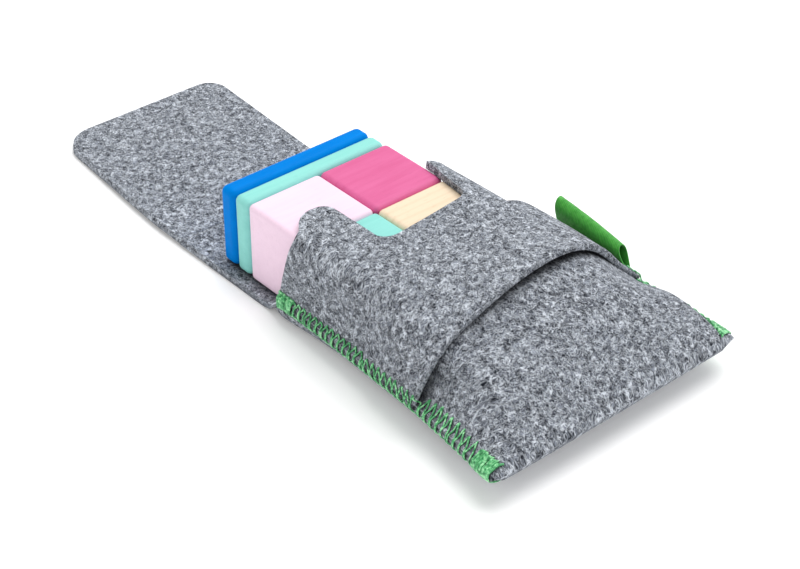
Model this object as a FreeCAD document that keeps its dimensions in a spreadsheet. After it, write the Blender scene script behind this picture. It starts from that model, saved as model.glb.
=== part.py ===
import FreeCAD, Part
import os
import Sketcher

# Felt pocket pouch with a fold-over flap, a retaining band and a ribbon tag, holding eight wooden
# blocks with sealed magnets. Millimetres. +X runs from the flap's free end to the pouch's folded
# bottom, +Y across the pouch, +Z up. The origin is under the middle of the open pouch, on the
# surface that it lies on.

os.makedirs("parts", exist_ok=True)
doc = FreeCAD.newDocument("BlockPouch")

# ---------------------------------------------------------------- driving dimensions

dimensions = {
    # felt
    "feltThickness": 2.5,
    "clearance": 0.2,
    "hingeGap": 0.3,
    # wooden blocks
    "blockSide": 30.0,
    "plankLength": 60.0,
    "plankThickness": 7.5,
    "blockEdge": 2.0,
    "plankEdge": 2.4,
    "blockNearSide": -38.0,
    "rowStart": -7.5,
    # magnets and the dowels that seal them
    "boreDiameter": 8.0,
    "cubeSkin": 3.5,
    "plankSkin": 2.0,
    "magnetThickness": 2.5,
    "magnetClearance": 0.05,
    "plugLength": 3.0,
    # flap
    "flapEnd": -128.5,
    "coverHinge": -58.0,
    "riserHinge": -25.0,
    "flapWidth": 72.0,
    "flapMiddle": -6.0,
    "flapSkew": 4.5,
    "flapCorner": 9.0,
    # pocket stations along X
    "mouthStation": 12.5,
    "shoulderStation": 84.5,
    "taperStation": 106.0,
    "foldStation": 124.5,
    "foldRadius": 4.0,
    # seam lines, measured at the inner felt faces
    "nearSeamMouth": -42.5,
    "nearSeamShoulder": -47.0,
    "nearSeamTaper": -50.5,
    "nearSeamFold": -54.0,
    "farSeamMouth": 43.0,
    "farSeamShoulder": 53.0,
    "farSeamFold": 53.55,
    "seamHeightMouth": 8.5,
    "seamHeight": 10.3,
    "seamWidth": 3.3,
    "seamRise": 0.5,
    # pocket heights, inner faces
    "roofClearance": 0.5,
    "wallClearance": 0.7,
    "roofCorner": 1.8,
    "farFootInset": 10.0,
    "taperFloor": 3.2,
    "taperTop": 25.0,
    "foldFloor": 8.8,
    "foldTop": 11.8,
    # finger notch in the front panel
    "notchDepth": 26.5,
    "notchWidth": 39.0,
    "notchMiddle": -1.3,
    "notchCorner": 5.0,
    # retaining band
    "bandStart": 55.0,
    "bandEnd": 88.0,
    "bandLift": 4.9,
    "bandFarLift": 1.5,
    # ribbon tag
    "tagStart": 46.5,
    "tagLength": 34.0,
    "tagFoot": 16.8,
    "tagHeight": 8.2,
    "tagGap": 2.0,
    "tagThickness": 0.6,
    "tagMiddle": 52.4,
    # whip stitching
    "stitchPitch": 4.2,
    "threadDiameter": 0.9,
    "stitchHeight": 5.6,
    "stitchSlant": 1.4,
    "stitchStandoff": 0.5,
}

sheet = doc.addObject("Spreadsheet::Sheet", "Sizes")
for line, (alias, value) in enumerate(dimensions.items(), start=1):
    sheet.set("A%d" % line, alias)
    sheet.set("B%d" % line, str(value))
    sheet.setAlias("B%d" % line, alias)
doc.recompute()


def size(alias):
    return float(sheet.get(alias))


def fromSheet(formula):
    # every alias in the formula gets the sheet's name in front of it
    words = formula.replace("(", " ( ").replace(")", " ) ").split()
    return " ".join("Sizes." + word if word in dimensions else word for word in words)


def bind(item, **formulas):
    for name, formula in formulas.items():
        item.setExpression(name.replace("_", "."), fromSheet(formula))


nodes = []


def keep(item, label):
    item.Label = label
    nodes.append(item)
    return item


# ---------------------------------------------------------------- sketch helpers

def originPlane(body, role):
    return next(feature for feature in body.Origin.OriginFeatures if feature.Role == role)


def planeSketch(body, name, role, offset="0"):
    sketch = body.newObject("Sketcher::SketchObject", name)
    sketch.AttachmentSupport = [(originPlane(body, role), "")]
    sketch.MapMode = "FlatFace"
    sketch.setExpression("AttachmentOffset.Base.z", fromSheet(offset))
    return sketch


def rectangle(sketch, left, bottom, width, height):
    # an upright rectangle from its lower left corner, each side bound to the sheet
    corners = [(0, 0), (10, 0), (10, 10), (0, 10)]
    points = [FreeCAD.Vector(across, up, 0) for across, up in corners]
    for start in range(4):
        sketch.addGeometry(Part.LineSegment(points[start], points[(start + 1) % 4]), False)
    for start in range(4):
        sketch.addConstraint(Sketcher.Constraint("Coincident", start, 2, (start + 1) % 4, 1))
    for side in (0, 2):
        sketch.addConstraint(Sketcher.Constraint("Horizontal", side))
    for side in (1, 3):
        sketch.addConstraint(Sketcher.Constraint("Vertical", side))
    lengths = [
        ("DistanceX", (-1, 1, 0, 1), left),
        ("DistanceY", (-1, 1, 0, 1), bottom),
        ("DistanceX", (0, 1, 0, 2), width),
        ("DistanceY", (1, 1, 1, 2), height),
    ]
    for kind, ends, formula in lengths:
        index = sketch.addConstraint(Sketcher.Constraint(kind, *ends, 10.0))
        sketch.setExpression("Constraints[%d]" % index, fromSheet(formula))


def quadrilateral(sketch, corners):
    # four straight sides through corners given as pairs of formulas
    start = [(0, 0), (-10, 0), (-10, -10), (0, -10)]
    points = [FreeCAD.Vector(across, up, 0) for across, up in start]
    for side in range(4):
        sketch.addGeometry(Part.LineSegment(points[side], points[(side + 1) % 4]), False)
    for side, formulas in enumerate(corners):
        sketch.addConstraint(Sketcher.Constraint("Coincident", side, 2, (side + 1) % 4, 1))
        for kind, formula in zip(("DistanceX", "DistanceY"), formulas):
            index = sketch.addConstraint(Sketcher.Constraint(kind, -1, 1, side, 1, -1.0))
            sketch.setExpression("Constraints[%d]" % index, fromSheet(formula))


def circle(sketch, across, up, diameter):
    # across and up are formulas of the centre's place in the sketch
    index = sketch.addGeometry(Part.Circle(FreeCAD.Vector(1, 1, 0), FreeCAD.Vector(0, 0, 1), 4), False)
    bound = [
        (Sketcher.Constraint("DistanceX", -1, 1, index, 3, 1.0), across),
        (Sketcher.Constraint("DistanceY", -1, 1, index, 3, 1.0), up),
        (Sketcher.Constraint("Diameter", index, 8.0), diameter),
    ]
    for constraint, formula in bound:
        place = sketch.addConstraint(constraint)
        sketch.setExpression("Constraints[%d]" % place, fromSheet(formula))


def pad(body, sketch, length, name="Pad"):
    feature = body.newObject("PartDesign::Pad", name)
    feature.Profile = sketch
    feature.setExpression("Length", fromSheet(length))
    doc.recompute()
    return feature


def fillet(body, base, radius, wanted):
    # rounds the edges of base for which wanted(edge) is true
    names = ["Edge%d" % (i + 1) for i, edge in enumerate(base.Shape.Edges) if wanted(edge)]
    feature = body.newObject("PartDesign::Fillet", "Rounding")
    feature.Base = (base, names)
    feature.setExpression("Radius", fromSheet(radius))
    doc.recompute()
    return feature


# ---------------------------------------------------------------- wooden blocks

def woodBlock(label, width, thickness, edge, skin, bores):
    # a block standing on its long edge: width along Y, blockSide up, thickness along X. Its magnet
    # bores are drilled from the +X face, which its neighbour hides, and stop short of the -X face.
    body = doc.addObject("PartDesign::Body", "Block")
    outline = planeSketch(body, "Outline", "YZ_Plane")
    rectangle(outline, "0", "0", width, "blockSide")
    blank = pad(body, outline, thickness)
    rounded = fillet(body, blank, edge, lambda anyEdge: True)
    solidVolume = rounded.Shape.Volume
    drilling = planeSketch(body, "Drilling", "YZ_Plane", thickness)
    for across in bores:
        circle(drilling, across, "blockSide / 2", "boreDiameter")
    bore = body.newObject("PartDesign::Pocket", "Bore")
    bore.Profile = drilling
    bore.setExpression("Length", fromSheet("%s - %s" % (thickness, skin)))
    doc.recompute()
    if bore.Shape.Volume > solidVolume - 100:
        raise RuntimeError(label + ": the bores cut nothing")
    return keep(body, label)


def dowel(diameterCut, start, length, across):
    # a cylinder along +X inside a bore: formulas for its start, its length and its place across
    rod = doc.addObject("Part::Cylinder", "Dowel")
    rod.Placement = FreeCAD.Placement(FreeCAD.Vector(), FreeCAD.Rotation(FreeCAD.Vector(0, 1, 0), 90))
    rod.setExpression("Radius", fromSheet("boreDiameter / 2 - %s" % diameterCut))
    rod.setExpression("Height", fromSheet(length))
    rod.setExpression("Placement.Base.x", fromSheet(start))
    rod.setExpression("Placement.Base.y", fromSheet(across))
    rod.setExpression("Placement.Base.z", fromSheet("feltThickness + clearance + blockSide / 2"))
    return rod


def group(label, pieces):
    compound = doc.addObject("Part::Compound", "Group")
    compound.Links = pieces
    return keep(compound, label)


def placeBlock(body, across, along):
    bind(body, Placement_Base_x=along, Placement_Base_y=across,
         Placement_Base_z="feltThickness + clearance")


def cube(label, row, column):
    # row 0 is at the mouth, column 0 on the near side
    along = "rowStart + %d * (blockSide + clearance)" % row
    across = "blockNearSide + %d * (blockSide + clearance)" % column
    block = woodBlock(label, "blockSide", "blockSide", "blockEdge", "cubeSkin", ["blockSide / 2"])
    placeBlock(block, across, along)
    middle = across + " + blockSide / 2"
    deep = along + " + cubeSkin"
    outer = along + " + blockSide - plugLength - magnetThickness"
    magnets = [
        dowel("magnetClearance", deep, "magnetThickness", middle),
        dowel("magnetClearance", outer, "magnetThickness", middle),
    ]
    spacer = "blockSide - cubeSkin - plugLength - magnetThickness - magnetThickness"
    dowels = [
        dowel("0", deep + " + magnetThickness", spacer, middle),
        dowel("0", along + " + blockSide - plugLength", "plugLength", middle),
    ]
    group(label + "_magnets", magnets)
    group(label + "_dowels", dowels)


def plank(label, place):
    # place 1 stands against the cubes, place 2 against the first plank
    along = "rowStart - %d * (plankThickness + clearance)" % place
    halves = ["blockSide / 2", "plankLength - blockSide / 2"]
    block = woodBlock(label, "plankLength", "plankThickness", "plankEdge", "plankSkin", halves)
    placeBlock(block, "blockNearSide", along)
    magnets = []
    plugs = []
    for half in halves:
        middle = "blockNearSide + " + half
        magnets.append(dowel("magnetClearance", along + " + plankSkin", "magnetThickness", middle))
        start = along + " + plankThickness - plugLength"
        plugs.append(dowel("0", start, "plugLength", middle))
    group(label + "_magnets", magnets)
    group(label + "_plugs", plugs)


plank("blue_plank", 2)
plank("mint_plank", 1)
cube("pink_cube", 0, 0)
cube("magenta_cube", 0, 1)
cube("mint_cube", 1, 0)
cube("natural_cube", 1, 1)
cube("inner_blue_cube", 2, 0)
cube("inner_natural_cube", 2, 1)

# ---------------------------------------------------------------- flap

cover = doc.addObject("PartDesign::Body", "Cover")
coverOutline = planeSketch(cover, "Outline", "XY_Plane")
coverNear = "flapMiddle - flapWidth / 2"
coverFar = "flapMiddle + flapWidth / 2"
quadrilateral(coverOutline, [
    ("coverHinge - hingeGap", coverFar),
    ("flapEnd", coverFar + " + flapSkew"),
    ("flapEnd", coverNear + " + flapSkew"),
    ("coverHinge - hingeGap", coverNear),
])
coverPlate = pad(cover, coverOutline, "feltThickness")
freeEnd = size("flapEnd")
fillet(cover, coverPlate, "flapCorner",
       lambda edge: edge.BoundBox.ZLength > 1 and abs(edge.BoundBox.Center.x - freeEnd) < 0.1)
keep(cover, "flap_cover")

riser = keep(doc.addObject("Part::Box", "Riser"), "flap_riser")
bind(riser, Length="riserHinge - hingeGap - coverHinge", Width="flapWidth", Height="feltThickness",
     Placement_Base_x="coverHinge", Placement_Base_y="flapMiddle - flapWidth / 2")

# ---------------------------------------------------------------- pocket panels

thick = size("feltThickness")
gap = size("clearance")
boxNear = size("blockNearSide")
boxFar = boxNear + size("plankLength") + gap
boxTop = thick + gap + size("blockSide")
roof = boxTop + size("roofClearance")

# the pocket's outline at four stations from the mouth to the fold: place along X, the two seams
# across Y, the seam's height, and the inner faces of the floor and of the roof
stations = [
    (size("mouthStation"), size("nearSeamMouth"), size("farSeamMouth"),
     size("seamHeightMouth"), thick, roof),
    (size("shoulderStation"), size("nearSeamShoulder"), size("farSeamShoulder"),
     size("seamHeight"), thick, roof),
    (size("taperStation"), size("nearSeamTaper"), size("farSeamFold"),
     size("seamHeight"), size("taperFloor"), size("taperTop")),
    (size("foldStation"), size("nearSeamFold"), size("farSeamFold"),
     size("seamHeight"), size("foldFloor"), size("foldTop")),
]


def offsetPath(path, thickness):
    # the path moved to its left by the thickness, mitred at each point
    moved = []
    for i, (across, up) in enumerate(path):
        before = path[max(i - 1, 0)]
        after = path[min(i + 1, len(path) - 1)]
        normals = []
        for start, end in ((before, (across, up)), ((across, up), after)):
            run = FreeCAD.Vector(end[0] - start[0], end[1] - start[1], 0)
            if run.Length > 0:
                run.normalize()
                normals.append(FreeCAD.Vector(-run.y, run.x, 0))
        normal = normals[0] + normals[-1]
        normal.normalize()
        reach = thickness / max(normal.dot(normals[0]), 0.5)
        moved.append((across + normal.x * reach, up + normal.y * reach))
    return moved


def feltShell(sections, thickness):
    # a felt sheet of even thickness on its inner face's sections, each a place and a path
    wires = []
    for along, path in sections:
        ring = path + offsetPath(path, thickness)[::-1]
        points = [FreeCAD.Vector(along, across, up) for across, up in ring]
        wires.append(Part.makePolygon(points + points[:1]))
    return Part.makeLoft(wires, True, True)


def floorPath(near, far, seam, floor):
    # from the near seam down round the blocks' lower edge, across the flat floor and up again
    lip = size("seamWidth")
    edge = seam - size("seamRise")
    return [
        (near, seam),
        (near + lip, edge),
        (boxNear - size("wallClearance") + gap, floor),
        (far - size("farFootInset"), floor),
        (far - lip, edge),
        (far, seam),
    ]


def roofPath(near, far, seam, top):
    # the wall beside the blocks, the flat over them and the long slope on the far side
    lip = size("seamWidth")
    edge = seam + size("seamRise")
    wall = boxNear - size("wallClearance")
    corner = min(size("roofCorner"), (top - seam) * 0.3)
    halfway = boxFar + (far - boxFar) * 0.45
    return [
        (near, seam),
        (near + lip, edge),
        (wall, top - corner),
        (wall + size("roofCorner"), top),
        (boxFar + 1.0, top),
        (halfway, seam + (top - seam) * 0.62),
        (far - lip, edge),
        (far, seam),
    ]


def foldRoll():
    # the half round where the felt strip turns from the back panel into the front panel
    radius = size("foldRadius")
    near = size("nearSeamFold")
    width = size("farSeamFold") - near
    middle = FreeCAD.Vector(size("foldStation"), near, (size("foldFloor") + size("foldTop")) / 2)
    roll = Part.makeCylinder(radius, width, middle, FreeCAD.Vector(0, 1, 0))
    outside = Part.makeBox(radius, width, 2 * radius, middle - FreeCAD.Vector(0, 0, radius))
    return roll.common(outside)


def backPanel():
    # the flat mouth end that the flap is part of, the tray under the blocks, and the fold
    flat = Part.makeBox(size("mouthStation") - size("riserHinge"), size("flapWidth"), thick)
    flat.translate(FreeCAD.Vector(size("riserHinge"), size("flapMiddle") - size("flapWidth") / 2, 0))
    tray = feltShell([(x, floorPath(near, far, seam, floor))
                      for x, near, far, seam, floor, top in stations], -thick)
    return flat.fuse(tray).fuse(foldRoll()).removeSplitter()


def notchCutter():
    depth = size("notchDepth")
    width = size("notchWidth")
    reach = 10.0
    cutter = Part.makeBox(depth + reach, width, 30)
    corners = [edge for edge in cutter.Edges
               if edge.BoundBox.ZLength > 1 and edge.BoundBox.Center.x > depth]
    cutter = cutter.makeFillet(size("notchCorner"), corners)
    cutter.translate(FreeCAD.Vector(size("mouthStation") - reach, size("notchMiddle") - width / 2, boxTop))
    return cutter


def frontPanel():
    shell = feltShell([(x, roofPath(near, far, seam, top))
                       for x, near, far, seam, floor, top in stations], thick)
    return shell.cut(notchCutter())


def atStation(x):
    # the pocket's outline between the mouth and the shoulder
    first, second = stations[0], stations[1]
    share = (x - first[0]) / (second[0] - first[0])
    return [a + (b - a) * share for a, b in zip(first, second)]


def bandPath(near, far, seam, top):
    # snug on the front panel at both sides, and arched clear of it over the roof
    snug = offsetPath(roofPath(near, far, seam, top), thick + size("hingeGap"))
    rise = [0, 0, 0, size("bandLift"), size("bandLift"), size("bandFarLift"), 0, 0]
    path = [(across, up + lift) for (across, up), lift in zip(snug, rise)]
    path[0] = (near, path[0][1])
    path[-1] = (far, path[-1][1])
    return path


def retainingBand():
    sections = []
    for x in (size("bandStart"), size("bandEnd")):
        _, near, far, seam, _, top = atStation(x)
        sections.append((x, bandPath(near, far, seam, top)))
    return feltShell(sections, thick)


def feltPiece(label, shape):
    item = doc.addObject("Part::Feature", "Felt")
    item.Shape = shape
    item.Placement = FreeCAD.Placement()
    return keep(item, label)


feltPiece("back_panel", backPanel())
feltPiece("front_panel", frontPanel())
feltPiece("retaining_band", retainingBand())

# ---------------------------------------------------------------- ribbon tag

def tagOutline(sketch):
    # an upright loop of ribbon seen along X: two legs joined by a half round at the top
    middle = size("tagMiddle")
    foot = size("tagFoot")
    inner = size("tagGap") / 2
    outer = inner + size("tagThickness")
    shoulder = foot + size("tagHeight") - outer
    up = FreeCAD.Vector(0, 0, 1)
    centre = FreeCAD.Vector(middle, shoulder, 0)

    def point(across, height):
        return FreeCAD.Vector(middle + across, height, 0)

    for reach in (inner, outer):
        arch = Part.ArcOfCircle(Part.Circle(centre, up, reach), 0, 3.141592653589793)
        sketch.addGeometry(arch, False)
        for side in (-reach, reach):
            sketch.addGeometry(Part.LineSegment(point(side, foot), point(side, shoulder)), False)
    for side in (-1, 1):
        sketch.addGeometry(Part.LineSegment(point(side * inner, foot), point(side * outer, foot)), False)


tag = doc.addObject("PartDesign::Body", "Tag")
tagSketch = planeSketch(tag, "Loop", "YZ_Plane", "tagStart")
tagOutline(tagSketch)
pad(tag, tagSketch, "tagLength")
keep(tag, "ribbon_tag")

# ---------------------------------------------------------------- whip stitching

def seamLine(side):
    # the seam's edge as points from the mouth to the fold; side 1 is near, 2 is far
    return [FreeCAD.Vector(station[0], station[side], station[3]) for station in stations]


def stitching(side, outward):
    # one slanted bar of thread over the felt edge at each pitch
    points = seamLine(side)
    radius = size("threadDiameter") / 2
    aside = FreeCAD.Vector(0, outward * (radius + size("stitchStandoff")), 0)
    lean = FreeCAD.Vector(size("stitchSlant"), 0, size("stitchHeight"))
    bars = []
    for start, end in zip(points, points[1:]):
        run = end - start
        count = int(run.Length // size("stitchPitch"))
        for i in range(count):
            middle = start + run * ((i + 0.5) / count)
            bars.append(Part.makeCylinder(radius, lean.Length, middle - lean * 0.5 + aside, lean))
    return Part.makeCompound(bars)


feltPiece("near_stitching", stitching(1, -1))
feltPiece("far_stitching", stitching(2, 1))

# ---------------------------------------------------------------- checks and export

doc.recompute()
for item in doc.Objects:
    if "Invalid" in item.State or "Error" in item.State:
        raise RuntimeError("failed object: %s %s" % (item.Label, item.State))
for item in nodes:
    if item.Shape.isNull() or not item.Shape.isValid():
        raise RuntimeError("bad shape: " + item.Label)

whole = FreeCAD.BoundBox()
for item in nodes:
    item.Shape.exportStep("parts/%s.step" % item.Label)
    whole.add(item.Shape.BoundBox)
    print("%-28s %2d solid(s) %9.1f mm3" % (item.Label, len(item.Shape.Solids), item.Shape.Volume))
print("box", [round(v, 2) for v in (whole.XMin, whole.YMin, whole.ZMin, whole.XMax, whole.YMax, whole.ZMax)])
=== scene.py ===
import bpy
import bmesh
import math
import random
from mathutils import Matrix, Vector, noise


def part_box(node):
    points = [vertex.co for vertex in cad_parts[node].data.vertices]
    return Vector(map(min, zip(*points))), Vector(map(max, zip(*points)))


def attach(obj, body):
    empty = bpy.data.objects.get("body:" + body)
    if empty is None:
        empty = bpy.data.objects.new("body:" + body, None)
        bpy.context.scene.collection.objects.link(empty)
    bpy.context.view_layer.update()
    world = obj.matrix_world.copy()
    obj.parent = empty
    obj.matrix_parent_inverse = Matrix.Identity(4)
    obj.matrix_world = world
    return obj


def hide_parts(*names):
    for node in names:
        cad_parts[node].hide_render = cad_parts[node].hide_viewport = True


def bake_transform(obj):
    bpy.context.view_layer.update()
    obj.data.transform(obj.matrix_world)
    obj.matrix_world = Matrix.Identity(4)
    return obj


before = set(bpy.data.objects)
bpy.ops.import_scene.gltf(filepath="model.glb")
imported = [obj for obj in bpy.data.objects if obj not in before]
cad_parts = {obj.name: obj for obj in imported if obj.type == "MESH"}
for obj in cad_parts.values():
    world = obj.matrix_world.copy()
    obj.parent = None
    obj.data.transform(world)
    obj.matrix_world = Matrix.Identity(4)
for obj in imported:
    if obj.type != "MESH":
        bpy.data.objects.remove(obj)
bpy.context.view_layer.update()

mm = 0.001  # lengths below are in millimetres unless they say otherwise
random.seed(7)


def boxMm(node):
    low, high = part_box(node)
    return low / mm, high / mm


def lerp(a, b, t):
    return a + (b - a) * t


def clamp(t):
    return min(max(t, 0), 1)


def smooth(t):
    # eases in and out between 0 and 1
    t = clamp(t)
    return t * t * (3 - 2 * t)


def rgba(value):
    return (*value, 1) if isinstance(value, tuple) and len(value) == 3 else value


def linked(name, data):
    thing = bpy.data.objects.new(name, data)
    bpy.context.scene.collection.objects.link(thing)
    return thing


# camera, floor and light

shot = dict(azimuth=49.09, elevation=35.6, roll=0.23, distance=630.2, lens=87.1,
            target=(40.96, -13.2, 15.0))

# lights and floor in metres and watts
light = dict(world=0.58, aim=(0.02, 0, 0),
             keyPower=14.2, keySize=1.3, keyPlace=(-0.12, 0.48, 1.1),
             fillPower=1.5, fillSize=1.0, fillPlace=(0.1, -1.0, 0.6),
             floor=0.95, floorGlow=0.17, floorHalf=6.0, floorHeight=-0.0002)
bpy.context.scene.view_settings.view_transform = "Standard"  # colours show as they are painted


def makeCamera():
    camera = linked("camera", bpy.data.cameras.new("camera"))
    a, e = math.radians(shot["azimuth"]), math.radians(shot["elevation"])
    back = Vector((math.sin(a) * math.cos(e), -math.cos(a) * math.cos(e), math.sin(e)))
    turn = back.to_track_quat("Z", "Y").to_matrix().to_4x4()
    roll = Matrix.Rotation(math.radians(shot["roll"]), 4, "Z")
    place = Matrix.Translation((Vector(shot["target"]) + back * shot["distance"]) * mm)
    camera.matrix_world = place @ turn @ roll
    camera.data.lens = shot["lens"]
    camera.data.sensor_width = 36.0
    camera.data.clip_start = 0.01
    camera.data.clip_end = 20.0
    bpy.context.scene.camera = camera


def areaLight(name, place, size, power):
    data = bpy.data.lights.new(name, "AREA")
    data.shape = "DISK"
    data.size = size
    data.energy = power
    lamp = linked(name, data)
    lamp.location = place
    lamp.rotation_euler = (Vector(place) - Vector(light["aim"])).to_track_quat("Z", "Y").to_euler()


def makeStage():
    bm = bmesh.new()
    bmesh.ops.create_grid(bm, x_segments=1, y_segments=1, size=light["floorHalf"])
    mesh = bpy.data.meshes.new("floor")
    bm.to_mesh(mesh)
    bm.free()
    floor = linked("floor", mesh)
    floor.location.z = light["floorHeight"]
    material = bpy.data.materials.new("paleFloor")
    material.use_nodes = True
    shader = material.node_tree.nodes["Principled BSDF"]
    shader.inputs["Base Color"].default_value = (*[light["floor"]] * 3, 1)
    shader.inputs["Roughness"].default_value = 0.9
    shader.inputs["Specular IOR Level"].default_value = 0.1
    shader.inputs["Emission Color"].default_value = (1, 1, 1, 1)
    shader.inputs["Emission Strength"].default_value = light["floorGlow"]
    mesh.materials.append(material)
    world = bpy.data.worlds.new("studio")
    world.use_nodes = True
    background = world.node_tree.nodes["Background"]
    background.inputs["Color"].default_value = (1, 1, 1, 1)
    background.inputs["Strength"].default_value = light["world"]
    bpy.context.scene.world = world
    for kind in ("key", "fill"):
        areaLight(kind + "Light", light[kind + "Place"], light[kind + "Size"], light[kind + "Power"])


makeCamera()
makeStage()
print("stage ready")

# material helpers


class Nodes:
    # short calls to build a material's node tree

    def __init__(self, name):
        self.material = bpy.data.materials.new(name)
        self.material.use_nodes = True
        self.tree = self.material.node_tree
        self.shader = self.tree.nodes["Principled BSDF"]

    def add(self, kind, inputs=None, **settings):
        node = self.tree.nodes.new("ShaderNode" + kind)
        for key, value in settings.items():
            setattr(node, key, value)
        for key, value in (inputs or {}).items():
            self.put(node, key, value)
        return node

    def put(self, node, key, value):
        if isinstance(value, bpy.types.NodeSocket):
            self.tree.links.new(value, node.inputs[key])
        else:
            node.inputs[key].default_value = value

    def noise(self, vector, scale, detail=2.0, roughness=0.5, distortion=0.0):
        node = self.add("TexNoise", {"Vector": vector, "Scale": scale, "Detail": detail,
                                     "Roughness": roughness, "Distortion": distortion})
        return node.outputs["Fac"]

    def mapped(self, vector, turn=0.0, stretch=(1, 1, 1), shift=(0, 0, 0)):
        # turned first and stretched after, so that the pattern lies along the turn
        node = self.add("Mapping", {"Vector": vector, "Rotation": (0, 0, turn), "Location": shift,
                                    "Scale": tuple(1 / s for s in stretch)}, vector_type="TEXTURE")
        return node.outputs["Vector"]

    def ramp(self, fac, stops):
        node = self.add("ValToRGB", {"Fac": fac})
        elements = node.color_ramp.elements
        while len(elements) < len(stops):
            elements.new(0.5)
        for element, (place, colour) in zip(elements, stops):
            element.position = place
            element.color = rgba(colour)
        return node.outputs["Color"]

    def grey(self, fac, low, high, bottom=0.0, top=1.0):
        node = self.add("MapRange", {"Value": fac, "From Min": low, "From Max": high,
                                     "To Min": bottom, "To Max": top}, clamp=True)
        return node.outputs["Result"]

    def math(self, kind, a, b):
        return self.add("Math", {0: a, 1: b}, operation=kind).outputs[0]

    def mix(self, fac, a, b):
        # inputs 6 and 7 and output 2 are the node's colour sockets
        return self.add("Mix", {0: fac, 6: rgba(a), 7: rgba(b)}, data_type="RGBA").outputs[2]

    def bump(self, height, strength, distance):
        node = self.add("Bump", {"Height": height, "Strength": strength, "Distance": distance})
        return node.outputs["Normal"]

    def finish(self, **values):
        for key, value in values.items():
            self.put(self.shader, key.replace("_", " "), value)
        return self.material


# felt

feltLook = dict(mid=(0.370, 0.405, 0.470), shade=(0.130, 0.144, 0.172), dark=(0.008, 0.010, 0.016),
                pale=(0.82, 0.87, 0.95),
                darkHair=dict(turns=(0.2, 1.25, 2.3), scale=860, width=0.039),
                paleHair=dict(turns=(0.75, 1.8, 2.85), scale=760, width=0.034),
                # the last value is how far, in metres, the painted crease shade looks for nearby surfaces
                curlScale=420.0, curlReach=0.0024, paintedShadeReach=0.006)


def feltMaterial():
    # heathered wool: fine curling dark and pale hairs at all angles over a cloudy grey, with painted shade
    # darkening its creases
    n = Nodes("greyFelt")
    flat = n.add("UVMap", uv_map="felt").outputs["UV"]
    curl = n.add("TexNoise", {"Vector": flat, "Scale": feltLook["curlScale"], "Detail": 1.0})
    curl = curl.outputs["Color"]
    curl = n.add("VectorMath", {0: curl, 1: (0.5, 0.5, 0.5)}, operation="SUBTRACT").outputs[0]
    curl = n.add("VectorMath", {0: curl, 3: feltLook["curlReach"]}, operation="SCALE").outputs[0]
    curled = n.add("VectorMath", {0: flat, 1: curl}, operation="ADD").outputs[0]

    def hairs(turn, scale, width):
        # thin lines along one height of a stretched noise
        lying = n.mapped(curled, turn, (1, 0.32, 1), (turn * 3, turn, 0))
        off = n.math("ABSOLUTE", n.math("SUBTRACT", n.noise(lying, scale, 1, 0.5), 0.5), 0.0)
        return n.grey(off, width, width * 0.3)

    def bundle(turns, scale, width):
        kind = None
        for turn in turns:
            strand = hairs(turn, scale, width)
            kind = strand if kind is None else n.math("MAXIMUM", kind, strand)
        return kind

    darkHair = bundle(**feltLook["darkHair"])
    paleHair = bundle(**feltLook["paleHair"])
    clouds = n.noise(flat, 380, 4, 0.75)
    patches = n.noise(flat, 95, 2, 0.5)
    grain = n.noise(flat, 2300, 2, 0.7)
    ground = n.math("ADD", clouds, n.math("MULTIPLY", patches, 0.6))
    ground = n.grey(n.math("ADD", ground, n.math("MULTIPLY", grain, 0.9)), 1.05, 1.42)
    colour = n.mix(ground, feltLook["shade"], feltLook["mid"])
    darkShare = n.math("MULTIPLY", darkHair, n.grey(clouds, 0.60, 0.42, 0.40, 1.0))
    colour = n.mix(darkShare, colour, feltLook["dark"])
    colour = n.mix(n.math("MULTIPLY", paleHair, n.grey(clouds, 0.38, 0.60, 0.20, 1.0)), colour,
                   feltLook["pale"])
    # painted shade: the colour darkens towards the dark hair colour in tight creases and gaps, where an
    # ambient occlusion node finds the felt hemmed in
    paintedCreaseShade = n.add("AmbientOcclusion", {"Distance": feltLook["paintedShadeReach"]}, samples=8).outputs["AO"]
    colour = n.mix(n.grey(paintedCreaseShade, 0.15, 0.75), feltLook["dark"], colour)
    height = n.math("SUBTRACT", n.math("MULTIPLY", paleHair, 0.8), n.math("MULTIPLY", darkHair, 0.6))
    height = n.math("ADD", height, n.math("MULTIPLY", clouds, 1.6))
    height = n.math("ADD", height, n.math("MULTIPLY", n.noise(flat, 3200, 1, 0.5), 0.3))
    bump = n.bump(height, 0.8, 0.0005)
    return n.finish(Base_Color=colour, Roughness=0.95, Specular_IOR_Level=0.1, Normal=bump,
                    Sheen_Weight=0.1, Sheen_Roughness=0.5, Sheen_Tint=(0.85, 0.87, 0.9, 1))


# smooth felt surfaces

def splinePoint(points, t):
    # a uniform cubic spline that starts and ends on its end points; t runs over the indices
    last = len(points) - 1
    i = min(max(int(t), 0), last - 1)
    f = t - i
    before = points[i - 1] if i > 0 else points[0] * 2 - points[1]
    after = points[i + 2] if i + 2 <= last else points[last] * 2 - points[last - 1]
    return (before * (1 - f) ** 3 + points[i] * (3 * f ** 3 - 6 * f * f + 4)
            + points[i + 1] * (-3 * f ** 3 + 3 * f * f + 3 * f + 1) + after * f ** 3) / 6


def indexAt(marks, value):
    # where value falls between marks, as an index with its fraction
    for i in range(len(marks) - 1):
        if value <= marks[i + 1] or i == len(marks) - 2:
            return i + (value - marks[i]) / (marks[i + 1] - marks[i])


def along(marks, values, place):
    # straight-line interpolation of values listed at marks
    t = min(max(indexAt(marks, place), 0), len(marks) - 1)
    i = min(int(t), len(marks) - 2)
    return lerp(values[i], values[i + 1], t - i)


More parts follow.
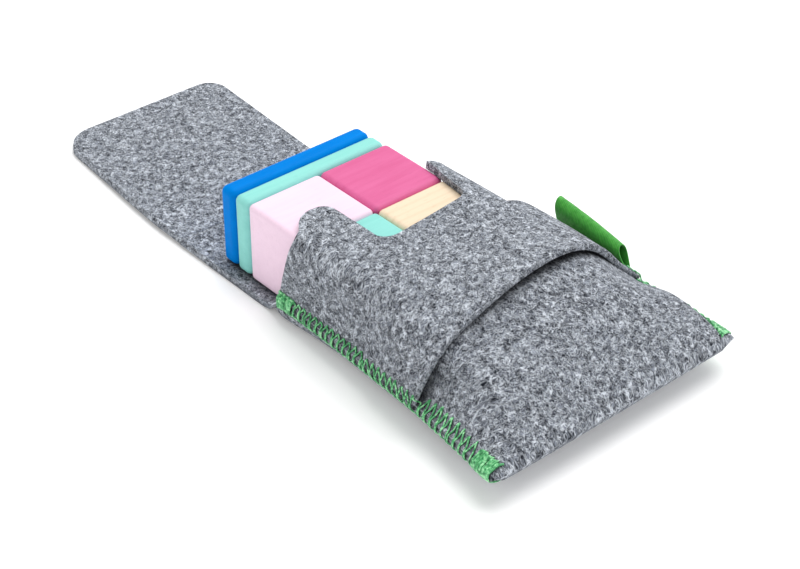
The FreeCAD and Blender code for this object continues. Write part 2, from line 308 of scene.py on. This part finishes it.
class Net:
    # a felt surface: rows of control points, with a mark along the cloth for each row and a mark
    # across it for each column

    def __init__(self, rowMarks, columnMarks, rows):
        self.rowMarks = rowMarks
        self.columnMarks = columnMarks
        self.rows = rows

    def at(self, s, b):
        column = indexAt(self.columnMarks, b)
        t = indexAt(self.rowMarks, s)
        last = len(self.rows) - 1
        first = min(max(int(t), 0), last - 1)
        near = range(max(first - 1, 0), min(first + 2, last) + 1)
        line = [splinePoint(self.rows[k], column) for k in near]
        return splinePoint(line, t - near[0])

    def normal(self, s, b):
        step = 0.4
        ds = self.at(s + step, b) - self.at(s - step, b)
        db = self.at(s, b + step) - self.at(s, b - step)
        return ds.cross(db).normalized()


def netOf(rows, columnMarks):
    # the row marks are lengths along the cloth, measured down its middle column
    middle = len(columnMarks) // 2
    marks = [0.0]
    for before, after in zip(rows, rows[1:]):
        marks.append(marks[-1] + (after[middle] - before[middle]).length)
    return Net(marks, columnMarks, rows)


def lastWhere(low, high, steps, holds):
    # the last value between low and high where a test that starts true still holds, by halving
    for _ in range(steps):
        middle = (low + high) / 2
        if holds(middle):
            low = middle
        else:
            high = middle
    return low


def roundedOutline(corners, steps=6):
    # a closed outline with each corner (s, b, radius) rounded by an arc
    outline = []
    count = len(corners)
    for i, (s, b, radius) in enumerate(corners):
        corner = Vector((s, b))
        if radius <= 0:
            outline.append(corner)
            continue
        toBefore = (Vector(corners[i - 1][:2]) - corner).normalized()
        toAfter = (Vector(corners[(i + 1) % count][:2]) - corner).normalized()
        half = toBefore.angle(toAfter) / 2
        centre = corner + (toBefore + toAfter).normalized() * (radius / math.sin(half))
        start = corner + toBefore * (radius / math.tan(half)) - centre
        end = corner + toAfter * (radius / math.tan(half)) - centre
        sweep = start.angle_signed(end)
        for k in range(steps + 1):
            turn = Matrix.Rotation(-sweep * k / steps, 2)
            outline.append(centre + turn @ start)
    return outline


def cutPattern(outline, cell):
    # the flat cut of the cloth, as a mesh of small cells
    bm = bmesh.new()
    bm.faces.new([bm.verts.new((s, b, 0)) for s, b in outline])
    for axis in (0, 1):
        low = min(p[axis] for p in outline)
        high = max(p[axis] for p in outline)
        count = max(int(round((high - low) / cell[axis])), 2)
        normal = Vector((1 - axis, axis, 0))
        for k in range(1, count):
            place = normal * lerp(low, high, k / count)
            bmesh.ops.bisect_plane(bm, geom=bm.verts[:] + bm.edges[:] + bm.faces[:], dist=1e-5,
                                   plane_co=place, plane_no=normal)
    bmesh.ops.remove_doubles(bm, verts=bm.verts[:], dist=0.3)
    bmesh.ops.triangulate(bm, faces=[f for f in bm.faces if len(f.verts) > 4])
    return bm


def clearOfBlocks(point, gap=0.3):
    # moves a point out of the stack of cubes, as the felt bends round their rounded edges
    inset = Vector([stackRound] * 3)
    low, high = stackLow + inset, stackHigh - inset
    inside = Vector([min(max(c, a), b) for c, a, b in zip(point, low, high)])
    away = point - inside
    reach = stackRound + gap
    if away.length >= reach:
        return point
    if away.length > 0.05:
        return inside + away.normalized() * reach
    return Vector((point.x, point.y, stackHigh.z + gap))


rimAngle = 0.9  # radians; edges that turn more than this are the cut rim of the cloth


def clothSheet(name, net, outline, cell, thickness, material, plainEdge=None, wobble=0.10,
               clear=False, softEdge=0.55, pinch=None):
    # cuts the pattern, bends it into the net's shape and gives it its thickness with soft edges
    bm = cutPattern(outline, cell)
    pattern = bm.loops.layers.uv.new("felt")
    patternUv(bm, net, pattern)
    outward = bm.verts.layers.float_vector.new("outward")
    outside = bm.verts.layers.int.new("outside")
    for vert in bm.verts:
        s, b = vert.co.x, vert.co.y
        # a slow ripple and a weaker quick one
        ripple = noise.noise(Vector((s * 0.09, b * 0.09, 3.1))) * 0.7
        ripple += noise.noise(Vector((s * 0.35, b * 0.35, 7.7))) * 0.3
        point = net.at(s, b) + net.normal(s, b) * ripple * wobble
        if clear and point.z > stackLow.z + 4:
            point = clearOfBlocks(point)
        vert.co = point * mm
        vert[outward] = (pinch(s, b) if pinch else 1.0, 0, 0)
    bm.normal_update()
    for vert in bm.verts:
        vert[outward] = vert.normal * (-thickness * mm * vert[outward].x)
    made = bmesh.ops.extrude_face_region(bm, geom=bm.faces[:], use_keep_orig=True)["geom"]
    for vert in [v for v in made if isinstance(v, bmesh.types.BMVert)]:
        vert.co += vert[outward]
        vert[outside] = 1
    for face in bm.faces:
        if len({vert[outside] for vert in face.verts}) == 2:
            for loop in face.loops:
                place = loop[pattern].uv
                loop[pattern].uv = (place.x + place.y, loop.vert[outside] * thickness * mm)
    bmesh.ops.recalc_face_normals(bm, faces=bm.faces[:])
    rim = [e for e in bm.edges if len(e.link_faces) == 2 and e.calc_face_angle() > rimAngle
           and not (plainEdge and all(plainEdge(v.co / mm) for v in e.verts))]
    bmesh.ops.bevel(bm, geom=rim, affect="EDGES", offset=softEdge * mm, segments=2, profile=0.5,
                    material=-1, clamp_overlap=True)
    bm.verts.layers.float_vector.remove(outward)
    bm.verts.layers.int.remove(outside)
    return meshPiece(name, bm, material)


def meshPiece(name, bm, material):
    for face in bm.faces:
        face.smooth = True
    mesh = bpy.data.meshes.new(name)
    bm.to_mesh(mesh)
    bm.free()
    mesh.materials.append(material)
    return linked(name, mesh)


# the felt strip: flap, back panel, fold and front panel

coverLow = boxMm("flap_cover")[0]
riserLow, riserHigh = boxMm("flap_riser")
backHigh = boxMm("back_panel")[1]
frontLow, frontHigh = boxMm("front_panel")
nearRowLow = boxMm("pink_cube")[0]
farRowHigh = boxMm("magenta_cube")[1]
lastCubeHigh = boxMm("inner_blue_cube")[1]

feltThickness = riserHigh.z
feltFace = feltThickness - 0.12  # the blocks slide just above the felt's face
stackLow = Vector(nearRowLow)
stackHigh = Vector(lastCubeHigh)
stackHigh.y = farRowHigh.y
stackRound = 2.0
# how thin the stitches press the felt, how far in, and the cloth's width per column mark there
seamPinch = dict(share=0.5, width=5.5, columnWidth=1.05)

pocket = dict(
    stations=[frontLow.x, lastCubeHigh.x + 1.6, 106.0, frontHigh.x],
    # how far the front panel draws back behind the band, column by column
    tuckIn=[0, 0.7, 2.6, 3.2, 3.2, 1.0, 0, 0, 0, -0.8, -1.1, -0.2, 0],
    tuckDown=[0, 0.2, 1.6, 3.2, 5.4, 4.2, -1.2, -1.6, 1.2, 4.4, 3.6, 0.6, 0],
    # where along X that drawing back starts and ends, and the length over which it sets in
    tuckStart=83, tuckRise=6, tuckEnd=120, tuckFall=22,
    # where the tray's sides start to lean out from upright, and over what length
    leanStart=14, leanLength=24,
    shoulder=23,  # where the front panel leaves the top of the blocks
    puff=2.4,
    near=[-42.5, -46.5, -49.2, -51.9],
    far=[43.0, 52.5, 53.1, 52.3],
    seam=[8.2, 9.8, 10.3, 10.3],
    floor=[feltFace, feltFace, 3.6, 9.0],
    roof=[33.2, 33.2, 23.4, 11.6],
)

flapNet = dict(end=-126.6, nearHinge=-42.2, farHinge=30.0, nearEnd=-37.0, farEnd=34.2,
               curl=1.3, curlStart=-12, curlLength=105, curlColumns=5,
               width=72.0, nearCorner=12.0, farCorner=8.0)

# the mouth edge from the near seam to the far seam: place along X, place across, corner radius
mouthEdge = dict(seamX=13.4, wallX=15.0, cornerX=20.3, tipX=12.3, earNear=-30.0, notchNear=-20.8,
                 notchX=41.2, notchFar=19.6, farTip=21.2, farTipX=13.0, tipRadius=4.5,
                 floorRadius=6.0)


def pocketAt(key, x):
    return along(pocket["stations"], pocket[key], x)


columns = [0, 3, 9, 17, 23, 31, 48, 65, 74, 84, 92, 97, 100]


def flatRow(x):
    # a row of the flap or of the mouth end of the back panel
    t = clamp((riserLow.x - x) / (riserLow.x - coverLow.x))
    near = lerp(flapNet["nearHinge"], flapNet["nearEnd"], t)
    far = lerp(flapNet["farHinge"], flapNet["farEnd"], t)
    rise = math.sin(math.pi * clamp((flapNet["curlStart"] - x) / flapNet["curlLength"]))
    points = []
    for b in columns:
        lift = flapNet["curl"] * rise * max(1 - b / flapNet["curlColumns"], 0) ** 1.3
        points.append(Vector((x, lerp(near, far, b / 100), feltFace + lift)))
    return points


def floorRow(x):
    # the tray under the blocks: its sides turn up to the two seams, steeply at the mouth
    near, far, seam, floor = (pocketAt(key, x) for key in ("near", "far", "seam", "floor"))
    lean = clamp((x - pocket["leanStart"]) / pocket["leanLength"])
    foot = lerp(near + 2.0, min(nearRowLow.y - 0.7, near + 8), lean)
    turn = lerp(near + 1.2, near + 2.6, lean)
    profile = [(near, seam), (turn, seam - 0.7),
               (turn + 1.2 * lean, lerp(floor, seam, 0.08 + 0.27 * lean)),
               (foot + 1.5, floor), (-33, floor), (-24, floor), (-4, floor), (16, floor),
               (far - 20, floor), (far - 12, floor + 0.4), (far - 6.5, lerp(floor, seam, 0.3)),
               (far - 2.8, seam - 1.2), (far, seam)]
    return [Vector((x, y, z)) for y, z in profile]


def roofRow(x):
    # snug beside and over the blocks, then a soft slope to the far seam
    near, far, seam, _, roof = (pocketAt(key, min(x, frontHigh.x))
                                for key in ("near", "far", "seam", "floor", "roof"))
    full, shoulder, stuffed = pocket["roof"][0], pocket["shoulder"], pocket["stations"][1]
    wall = nearRowLow.y - 0.9
    k = clamp((x - stuffed) / (frontHigh.x - stuffed))
    tall = [(near, seam), (near + 3.0, seam + 0.3), (lerp(near + 3.4, wall, 0.85), seam + 6.5),
            (wall, full - 5.0), (wall + 0.8, full + 0.2), (wall + 7.5, full + 0.2),
            (-8, full + 0.3), (13, full + 0.2), (25.2, full - 0.4),
            (lerp(shoulder, far, 0.42), lerp(seam, full, 0.67)),
            (lerp(shoulder, far, 0.76), lerp(seam, full, 0.25)),
            (far - 3.2, seam + 0.5), (far, seam)]
    tuck = smooth((x - pocket["tuckStart"]) / pocket["tuckRise"])
    tuck *= smooth((pocket["tuckEnd"] - x) / pocket["tuckFall"])
    tall = [(y + tuck * inward, z - tuck * down)
            for (y, z), inward, down in zip(tall, pocket["tuckIn"], pocket["tuckDown"])]
    width = far - near
    low = [(near + width * share, roof if 0.04 < share < 0.96 else seam)
           for share in (0, 0.03, 0.085, 0.16, 0.23, 0.31, 0.48, 0.65, 0.76, 0.85, 0.92, 0.97, 1)]
    ease = smooth(k)
    points = []
    for i, ((y0, z0), (y1, z1)) in enumerate(zip(tall, low)):
        z = lerp(seam, z0, (roof - seam) / (full - seam)) if 0 < i < len(columns) - 1 else z0
        z = lerp(z, z1, ease) if k < 1 else z1
        puff = math.sin(math.pi * clamp((columns[i] - 3) / 94)) * math.sin(math.pi * k) * pocket["puff"]
        points.append(Vector((x, lerp(y0, y1, ease), z + puff)))
    return points


def foldRow():
    # the row along the very fold, a little beyond it so that the spline reaches the fold's edge
    near, far, seam = (pocketAt(key, frontHigh.x) for key in ("near", "far", "seam"))
    tip = backHigh.x - feltThickness + 0.9
    return [Vector((tip, lerp(near, far, b / 100), seam)) for b in columns]


# where along X the strip's rows lie: flap and mouth, tray to the fold, and back over the blocks
flatPlaces = [flapNet["end"], -121, -112, -100, -86, -72, -58, -50, -41.5, -33, -25, -12, 0, 8]
trayPlaces = [14, 19, 30, 45, 60, 74, 83, 87, 92, 99, 107, 115, 121, 124.6]
roofPlaces = [*reversed(trayPlaces[1:]), 12.5, 6.0]
creaseRow = flatPlaces.index(-41.5)  # the row between the cover and the riser


def stripNet():
    rows = [flatRow(x) for x in flatPlaces] + [floorRow(x) for x in trayPlaces]
    rows += [foldRow()] + [roofRow(x) for x in roofPlaces]
    return netOf(rows, columns)


strip = stripNet()
coverCut = strip.rowMarks[creaseRow]
cutX = strip.at(coverCut, 50).x
trayStart = strip.rowMarks[len(flatPlaces) - 1]
foldMark = strip.rowMarks[len(flatPlaces) + len(trayPlaces)]


def pressedShare(b):
    # the felt's thickness beside a seam, as a share of its full thickness
    inward = min(b, 100 - b) * seamPinch["columnWidth"] / seamPinch["width"]
    return lerp(seamPinch["share"], 1, smooth(inward))


def seamShare(s, b):
    # the same along the strip, where only the pocket has seams
    return lerp(1, pressedShare(b), clamp((s - trayStart) / 8))


def pocketMark(x, b=48):
    # the mark along the strip where the front panel's column b comes to a place x
    return lastWhere(foldMark, strip.rowMarks[-1], 26, lambda s: strip.at(s, b).x > x)


def columnOf(y, x=30):
    # the column mark where the front panel comes to a place y across, over the blocks
    s = pocketMark(x)
    return lastWhere(22.0, 78.0, 22, lambda b: strip.at(s, b).y < y)


def patternUv(bm, net, layer):
    # the felt's pattern follows the cloth: distance along the strip, and real distance across it
    reach = {}
    steps = 60
    for vert in bm.verts:
        key = round(vert.co.x, 3)
        if key not in reach:
            line = [net.at(vert.co.x, 100 * k / steps) for k in range(steps + 1)]
            total = [0.0]
            for a, b in zip(line, line[1:]):
                total.append(total[-1] + (b - a).length)
            half = total[steps // 2]
            reach[key] = [length - half for length in total]
    for face in bm.faces:
        for loop in face.loops:
            s, b = loop.vert.co.x, loop.vert.co.y
            across = along(list(range(steps + 1)), reach[round(s, 3)], b / 100 * steps)
            loop[layer].uv = (s * mm, across * mm)


def onCreaseCut(point):
    return abs(point.x - cutX) < 0.2


felt = feltMaterial()


def buildCover():
    end = strip.rowMarks[0]
    wide = flapNet["width"]
    cut = roundedOutline([(end, 0, flapNet["nearCorner"]), (coverCut, 0, 0), (coverCut, wide, 0),
                          (end, wide, flapNet["farCorner"])])
    outline = [Vector((s, y * 100 / wide)) for s, y in cut]
    piece = clothSheet("flap_felt", strip, outline, (1.6, 2.2), feltThickness, felt,
                       plainEdge=onCreaseCut)
    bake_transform(piece)
    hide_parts("flap_cover", "flap_riser")


def mouthCorners():
    m = mouthEdge
    corners = [(m["seamX"], 0, 1.0), (m["wallX"], 9, 0), (m["cornerX"], 23, 4.0),
               (m["tipX"], columnOf(m["earNear"]), 5.0),
               (m["tipX"] + 0.6, columnOf(m["notchNear"]), m["tipRadius"]),
               (m["notchX"] + 0.8, columnOf(m["notchNear"] + 0.4), m["floorRadius"] - 1.5),
               (m["notchX"] - 2.9, columnOf(m["notchFar"] - 1.2), m["floorRadius"] - 1.0),
               (m["farTipX"], columnOf(m["farTip"]), 1.6),
               (m["farTipX"] + 2.0, 84, 0), (m["farTipX"] + 1.0, 100, 1.0)]
    return [(pocketMark(x, b), b, radius) for x, b, radius in corners]


def buildPouchStrip():
    outline = roundedOutline([(coverCut, 0, 0), *mouthCorners(), (coverCut, 100, 0)])
    piece = clothSheet("pouch_felt", strip, outline, (1.5, 1.6), feltThickness, felt,
                       plainEdge=onCreaseCut, clear=True, pinch=seamShare)
    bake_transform(piece)
    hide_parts("back_panel", "front_panel")


buildCover()
buildPouchStrip()
print("felt strip ready")

# retaining band

# edges across the pouch from the near seam to the far seam; heights are of the band's under side.
# its middle leaves the front panel at the landing and stands free from there to its foot
band = dict(
    columns=[0, 4, 10, 17, 23, 31, 40, 48, 57, 66, 74, 82, 88, 94, 100],
    mouthX=[61, 61.5, 61.5, 61, 60, 58, 56, 54.5, 53, 51.5, 50.3, 50, 50, 50, 50],
    footX=[88, 88.5, 89.5, 90, 90.4, 90, 89.4, 88.6, 87.8, 87, 86.4, 86, 86, 86, 86],
    archY=[-49.4, -47.4, -44.6, -41.4, -37.2, -28.5, -17.5, -7.0, 5.0, 17.0, 27.5, 36.2, 42.0, 47.2, 52.0],
    archZ=[11.8, 14.6, 19.2, 25.0, 29.6, 33.4, 36.6, 38.6, 39.6, 38.6, 34.4, 26.6, 18.4, 12.0, 10.2],
    landing=82, gap=0.5, rows=9)


def bandNet():
    rows = []
    for r in range(band["rows"]):
        t = r / (band["rows"] - 1)
        row = []
        for i, b in enumerate(band["columns"]):
            x = lerp(band["mouthX"][i], band["footX"][i], t)
            free = smooth(min(b, 100 - b) / 8)
            s = pocketMark(lerp(x, min(x, band["landing"]), free), b)
            layer = feltThickness * seamShare(s, b) + band["gap"] * min(1, min(b, 100 - b) / 8)
            onPanel = strip.at(s, b) - strip.normal(s, b) * layer
            arch = Vector((x, band["archY"][i], band["archZ"][i]))
            ease = t ** 1.7 * smooth(min(b / 7, (100 - b) / 10))
            point = onPanel.lerp(arch, ease)
            row.append(Vector((x, point.y, point.z)))
        rows.append(row)
    return netOf(rows, band["columns"])


bandSurface = bandNet()


def buildBand():
    wide = bandSurface.rowMarks[-1]
    outline = [(0, 0), (wide, 0), (wide, 100), (0, 100)]
    # the net's rows run away from the mouth, so its normal points out of the pouch
    piece = clothSheet("band_felt", bandSurface, [Vector(p) for p in reversed(outline)], (1.5, 1.4),
                       feltThickness, felt, pinch=lambda s, b: pressedShare(b))
    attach(piece, "pouch")
    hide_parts("retaining_band")


buildBand()
print("band ready")

# seam stitching

stitch = dict(thread=0.27, pitch=3.0, reach=4.7, tackPitch=0.5, mouthTack=7.5, cornerTack=9.0,
              start=14.4, end=125.6, sink=-0.08, jitter=0.3, slant=0.42, pouchWidth=104)


def threadMaterial():
    # twisted glossy polyester
    n = Nodes("greenThread")
    place = n.add("TexCoord").outputs["Object"]
    shade = n.noise(place, 900, 2, 0.6)
    colour = n.ramp(shade, [(0.36, (0.02, 0.22, 0.065)), (0.50, (0.10, 0.54, 0.19)),
                            (0.64, (0.42, 0.90, 0.48))])
    twist = n.add("TexWave", {"Vector": place, "Scale": 900.0, "Distortion": 2.0},
                  bands_direction="DIAGONAL").outputs["Fac"]
    return n.finish(Base_Color=colour, Roughness=0.42, Normal=n.bump(twist, 0.5, 0.0002),
                    Specular_IOR_Level=0.4, Sheen_Weight=0.3)


def skinAt(x, b, lift):
    # the outermost felt face at a place along the seam: the band's where the band covers it
    first, last = (along(band["columns"], band[key], b) for key in ("mouthX", "footX"))
    if first <= x <= last:
        s = bandSurface.rowMarks[-1] * ((x - first) / (last - first))
        return bandSurface.at(s, b) + bandSurface.normal(s, b) * (feltThickness * pressedShare(b) + lift)
    s = pocketMark(x, b)
    return strip.at(s, b) - strip.normal(s, b) * (feltThickness * seamShare(s, b) + lift)


def trayMark(x):
    # the mark along the strip where the tray comes to a place x
    return lastWhere(coverCut, foldMark, 24, lambda s: strip.at(s, 48).x < x)


def underAt(x, b, lift):
    s = trayMark(x)
    return strip.at(s, b) - strip.normal(s, b) * (feltThickness * seamShare(s, b) + lift)


def stitchRoute(side, strand):
    # over the felt from the needle hole to the rim, round the rim, and back through both layers
    columnsPerMm = 100 / stitch["pouchWidth"]
    lean = stitch["slant"] if strand else -stitch["slant"]
    x = stitch["start"]
    route = []
    while x < stitch["end"]:
        tack = x < stitch["start"] + stitch["mouthTack"] or x > stitch["end"] - stitch["cornerTack"]
        pitch = stitch["tackPitch"] if tack else stitch["pitch"]
        reach = stitch["reach"] * random.uniform(0.88, 1.12)
        slant = lean * pitch if not tack else random.uniform(-0.5, 0.5)
        hole = x + random.uniform(-1, 1) * stitch["jitter"] * (0.5 if tack else 1)
        rim = hole + slant
        lift = stitch["thread"] - stitch["sink"] + (random.uniform(0, 0.3) if tack else 0.0)

        def column(distance):
            b = max(distance * columnsPerMm, 0)
            return b if side == "near" else 100 - b

        over = [skinAt(lerp(rim, hole, k), column(reach * k), lift + 0.15 * math.sin(math.pi * k))
                for k in (0.92, 0.7, 0.4, 0.12)]
        rimTop = skinAt(rim, column(0), lift * 0.4)
        rimLow = underAt(rim, column(0), lift * 0.4)
        outward = Vector((0, (-1 if side == "near" else 1) * (0.35 + stitch["thread"]), 0))
        route += [skinAt(hole, column(reach), -0.6), *over, rimTop + outward, rimLow + outward,
                  underAt(rim + 0.2 * pitch, column(reach * 0.5), lift),
                  underAt(hole + 0.5 * pitch, column(reach * 0.9), -0.4)]
        x += pitch
    return route


def threadCurve(name, routes):
    curve = bpy.data.curves.new(name, "CURVE")
    curve.dimensions = "3D"
    curve.bevel_depth = stitch["thread"] * mm
    curve.bevel_resolution = 1
    curve.resolution_u = 2
    curve.use_fill_caps = True
    for route in routes:
        spline = curve.splines.new("NURBS")
        spline.points.add(len(route) - 1)
        for point, place in zip(spline.points, route):
            point.co = (*(place * mm), 1)
        spline.order_u = 3
        spline.use_endpoint_u = True
    holder = bpy.data.objects.new(name + "_route", curve)
    mesh = bpy.data.meshes.new_from_object(holder)
    bpy.data.objects.remove(holder)
    mesh.name = name
    for polygon in mesh.polygons:
        polygon.use_smooth = True
    return linked(name, mesh)


def buildStitching():
    thread = threadMaterial()
    for side in ("near", "far"):
        piece = threadCurve(side + "_seam_thread", [stitchRoute(side, 0), stitchRoute(side, 1)])
        piece.data.materials.clear()
        piece.data.materials.append(thread)
        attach(piece, "pouch")
        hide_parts(side + "_stitching")


buildStitching()
print("seams sewn")

# ribbon tag

ribbon = dict(footLeft=50.5, footRight=84.0, topLeft=47.9, topRight=77.4, crownLeft=25.0,
              crownRight=20.4, footHeight=9.8, footY=50.8, crownY=52.0, gap=3.2, gapRight=2.7,
              thickness=0.45)


def ribbonMaterial():
    # satin ribbon with fine cross ribs
    n = Nodes("greenRibbon")
    flat = n.add("UVMap", uv_map="felt").outputs["UV"]
    ribs = n.add("TexWave", {"Vector": flat, "Scale": 460.0, "Distortion": 0.6, "Detail": 1.0},
                 bands_direction="Y").outputs["Fac"]
    worn = n.noise(flat, 420, 3, 0.6)
    colour = n.mix(n.math("MULTIPLY", ribs, 0.55), (0.018, 0.22, 0.014), (0.070, 0.52, 0.045))
    colour = n.mix(n.grey(worn, 0.35, 0.7, 0.0, 0.45), colour, (0.12, 0.62, 0.08))
    return n.finish(Base_Color=colour, Roughness=0.45, Normal=n.bump(ribs, 0.55, 0.00025),
                    Specular_IOR_Level=0.45, Sheen_Weight=0.35, Sheen_Roughness=0.3)


def buildRibbon():
    # rows run up the near layer, over the crown and down the far layer; columns run along X
    r = ribbon
    profile = [(0.0, -0.25), (0.3, -0.30), (0.62, -0.95), (0.88, -1.45), (1.05, -0.15), (0.92, 1.1),
               (0.65, 1.0), (0.3, 0.6), (0.0, 0.3)]
    ribbonColumns = [0, 12, 30, 50, 70, 88, 100]
    rows = []
    for height, side in profile:
        row = []
        for b in ribbonColumns:
            k = b / 100
            foot = Vector((lerp(r["footLeft"], r["footRight"], k), r["footY"], r["footHeight"]))
            crown = Vector((lerp(r["topLeft"], r["topRight"], k), r["crownY"],
                            lerp(r["crownLeft"], r["crownRight"], k)))
            gap = lerp(r["gap"], r["gapRight"], k ** 3) / 2
            bow = math.sin(math.pi * k) * 0.5
            row.append(foot.lerp(crown, height) + Vector((0, side * gap + bow * height, 0)))
        rows.append(row)
    net = netOf(rows, ribbonColumns)
    length = net.rowMarks[-1]
    outline = [Vector(p) for p in ((0, 0), (length, 0), (length, 100), (0, 100))]
    piece = clothSheet("ribbon_loop", net, outline, (0.8, 2.5), r["thickness"], ribbonMaterial(),
                       wobble=0.05, softEdge=0.12)
    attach(piece, "pouch")
    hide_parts("ribbon_tag")


buildRibbon()
print("ribbon ready")

# wooden blocks

paint = dict(
    blue=dict(face=(0.0, 0.220, 0.71), grain=(0.0, 0.185, 0.62), gloss=0.02),
    mint=dict(face=(0.285, 0.70, 0.64), grain=(0.25, 0.65, 0.59)),
    pink=dict(face=(0.92, 0.70, 0.83), grain=(0.88, 0.66, 0.79)),
    magenta=dict(face=(0.70, 0.150, 0.335), grain=(0.65, 0.122, 0.290)),
)
wood = dict(
    natural=dict(pale=(0.83, 0.67, 0.49), grain=(0.77, 0.60, 0.42), dark=(0.50, 0.33, 0.19)),
    plug=dict(pale=(0.80, 0.60, 0.36), grain=(0.66, 0.45, 0.24), dark=(0.36, 0.21, 0.10)),
)


def woodPattern(n, place):
    # long grain with fine pores; returns the grain's shade and the pores' depth
    grain = n.noise(n.mapped(place, stretch=(1, 0.09, 1)), 420, 4, 0.62, 0.35)
    pores = n.grey(n.noise(n.mapped(place, stretch=(1, 0.16, 1)), 1900, 2, 0.6), 0.60, 0.74)
    return grain, pores


def paintedWood(name, look):
    # a thin water-based tint that lets the grain through
    n = Nodes(name)
    place = n.add("TexCoord").outputs["Object"]
    grain, pores = woodPattern(n, place)
    cloud = n.noise(place, 55, 2, 0.5)
    shade = n.math("ADD", n.math("MULTIPLY", grain, 0.7), n.math("MULTIPLY", cloud, 0.3))
    colour = n.mix(n.grey(shade, 0.36, 0.62), look["grain"], look["face"])
    colour = n.mix(n.math("MULTIPLY", pores, 0.15), colour, tuple(0.6 * c for c in look["grain"]))
    height = n.math("SUBTRACT", n.math("MULTIPLY", grain, 0.5), n.math("MULTIPLY", pores, 0.6))
    rough = n.grey(grain, 0.3, 0.7, 0.30, 0.42)
    return n.finish(Base_Color=colour, Roughness=rough, Normal=n.bump(height, 0.22, 0.0002),
                    Specular_IOR_Level=look.get("gloss", 0.10))


def bareWood(name, look):
    n = Nodes(name)
    place = n.add("TexCoord").outputs["Object"]
    grain, pores = woodPattern(n, place)
    rings = n.add("TexWave", {"Vector": n.mapped(place, stretch=(1, 0.06, 1)), "Scale": 95.0,
                              "Distortion": 5.0, "Detail": 3.0, "Detail Scale": 1.4},
                  bands_direction="X").outputs["Fac"]
    shade = n.math("ADD", n.math("MULTIPLY", grain, 0.6), n.math("MULTIPLY", rings, 0.4))
    colour = n.ramp(shade, [(0.20, look["grain"]), (0.52, look["pale"])])
    colour = n.mix(n.math("MULTIPLY", pores, 0.3), colour, look["dark"])
    height = n.math("SUBTRACT", n.math("MULTIPLY", grain, 0.5), n.math("MULTIPLY", pores, 0.8))
    return n.finish(Base_Color=colour, Roughness=0.55, Normal=n.bump(height, 0.3, 0.0002),
                    Specular_IOR_Level=0.35)


def magnetMaterial():
    n = Nodes("nickelMagnet")
    place = n.add("TexCoord").outputs["Object"]
    brushed = n.noise(n.mapped(place, stretch=(1, 14, 1)), 500, 2, 0.5)
    return n.finish(Base_Color=(0.66, 0.64, 0.60, 1), Metallic=1.0, Normal=n.bump(brushed, 0.2, 0.0001),
                    Roughness=n.grey(brushed, 0.3, 0.7, 0.2, 0.34))


def coat(node, material):
    for slot in bpy.data.objects[node].material_slots:
        slot.material = material


def finishBlocks():
    colours = {key: paintedWood(key + "Paint", look) for key, look in paint.items()}
    natural = bareWood("naturalWood", wood["natural"])
    plug = bareWood("plugWood", wood["plug"])
    magnet = magnetMaterial()
    for node, colour in (("blue_plank", "blue"), ("mint_plank", "mint"), ("pink_cube", "pink"),
                         ("magenta_cube", "magenta"), ("mint_cube", "mint"),
                         ("inner_blue_cube", "blue"), ("natural_cube", None),
                         ("inner_natural_cube", None)):
        coat(node, colours[colour] if colour else natural)
        coat(node + "_magnets", magnet)
        coat(node + ("_plugs" if "plank" in node else "_dowels"), plug)


finishBlocks()
print("blocks finished")
